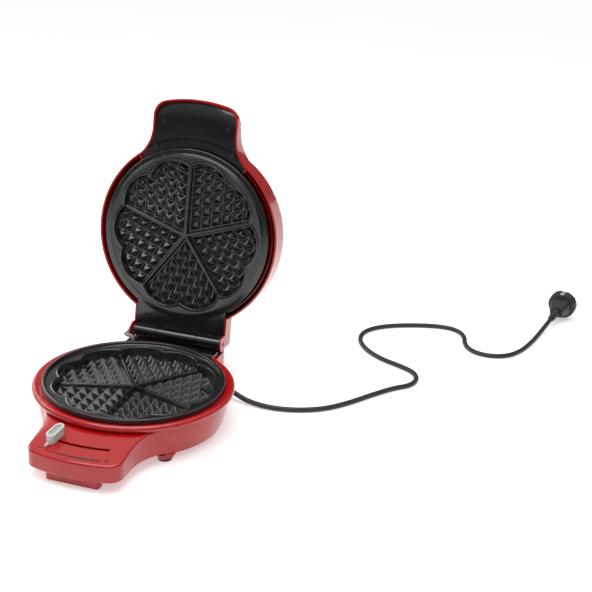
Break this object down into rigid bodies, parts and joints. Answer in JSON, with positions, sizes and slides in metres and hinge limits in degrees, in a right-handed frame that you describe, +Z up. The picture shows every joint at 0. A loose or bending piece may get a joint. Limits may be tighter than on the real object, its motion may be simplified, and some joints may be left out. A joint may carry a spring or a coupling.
{
  "type": "waffle maker",
  "caption": "Electric heart-waffle iron: round red shells with cast non-stick plates, rear-hinged lid, front handles, browning slider and a short mains lead.",
  "frame": {"origin": "on the table, under the middle of the appliance's box with its lid open; the cooking plates' centre is 17.4 mm in front of it", "axes": "+Z up, -Y to the handle, +X to the right seen from the handle"},
  "size_m": [0.5511, 0.6998, 0.3253],
  "materials": {
    "red_shell": "glossy red moulded plastic",
    "non_stick": "cast aluminium with a dark satin non-stick coating",
    "black_plastic": "black heat-resistant moulded plastic, satin",
    "element_sheath": "drawn stainless sheath, heat-tinted",
    "shield_sheet": "pressed bright sheet",
    "steel": "zinc-plated steel",
    "black_screw": "blackened steel screw",
    "ceramic": "off-white heat-resistant moulding",
    "brass": "turned brass",
    "lead_rubber": "black moulded rubber, satin",
    "foot_rubber": "dark grey rubber, matte",
    "nickel": "nickel-plated brass",
    "print_black": "printed film",
    "silver_plastic": "silver-painted plastic",
    "knob_grip": "grey-green inlay",
    "lamp_red": "clear red lens",
    "lamp_green": "clear green lens",
    "glass_sleeve": "woven glass-fibre sleeve"
  },
  "bodies": {
    "base": {"base_housing": "red_shell", "bottom_cover": "red_shell", "lower_plate": "non_stick", "lower_heating_element": "element_sheath", "lower_heat_shield": "shield_sheet", "lower_shield_screws": "steel", "base_hinge_block": "black_plastic", "hinge_block_screws": "black_screw", "hinge_pin": "steel", "thermostat": "ceramic", "thermostat_bracket": "steel", "thermal_fuse": "steel", "terminal_block": "ceramic", "terminal_screws": "steel", "cord_clamp": "black_plastic", "tail_lead": "lead_rubber", "strain_relief": "lead_rubber", "mains_cord": "lead_rubber", "plug_body": "lead_rubber", "plug_pins": "nickel", "plug_earth_clips": "nickel", "scale_print": "print_black", "front_foot_pad": "foot_rubber", "rubber_feet": "foot_rubber", "cover_screws": "black_screw", "lead_sleeve": "glass_sleeve"},
    "browning_slider": {"slider_knob": "silver_plastic", "knob_insert": "knob_grip", "lever_arm": "steel", "thermostat_spindle": "brass"},
    "lid": {"lid_shell": "red_shell", "lid_handle_liner": "black_plastic", "lid_hinge_liner": "black_plastic", "upper_plate": "non_stick", "upper_heating_element": "element_sheath", "upper_heat_shield": "shield_sheet", "upper_shield_screws": "steel", "lid_liner_screws": "black_screw", "lid_hinge_screws": "black_screw", "power_lamp": "lamp_red", "ready_lamp": "lamp_green", "lamp_holder": "black_plastic"}
  },
  "joints": [
    {"name": "lid_hinge", "type": "hinge", "parent": "base", "child": "lid", "pos_m": [0, 0.101, 0.0519], "axis": [1, 0, 0], "range_deg": [0, 98], "deforming": ["lead_sleeve"]},
    {"name": "slider_swing", "type": "hinge", "parent": "base", "child": "browning_slider", "pos_m": [0, -0.0203, 0.0178], "axis": [0, 0, 1], "range_deg": [0, 24]}
  ]
}
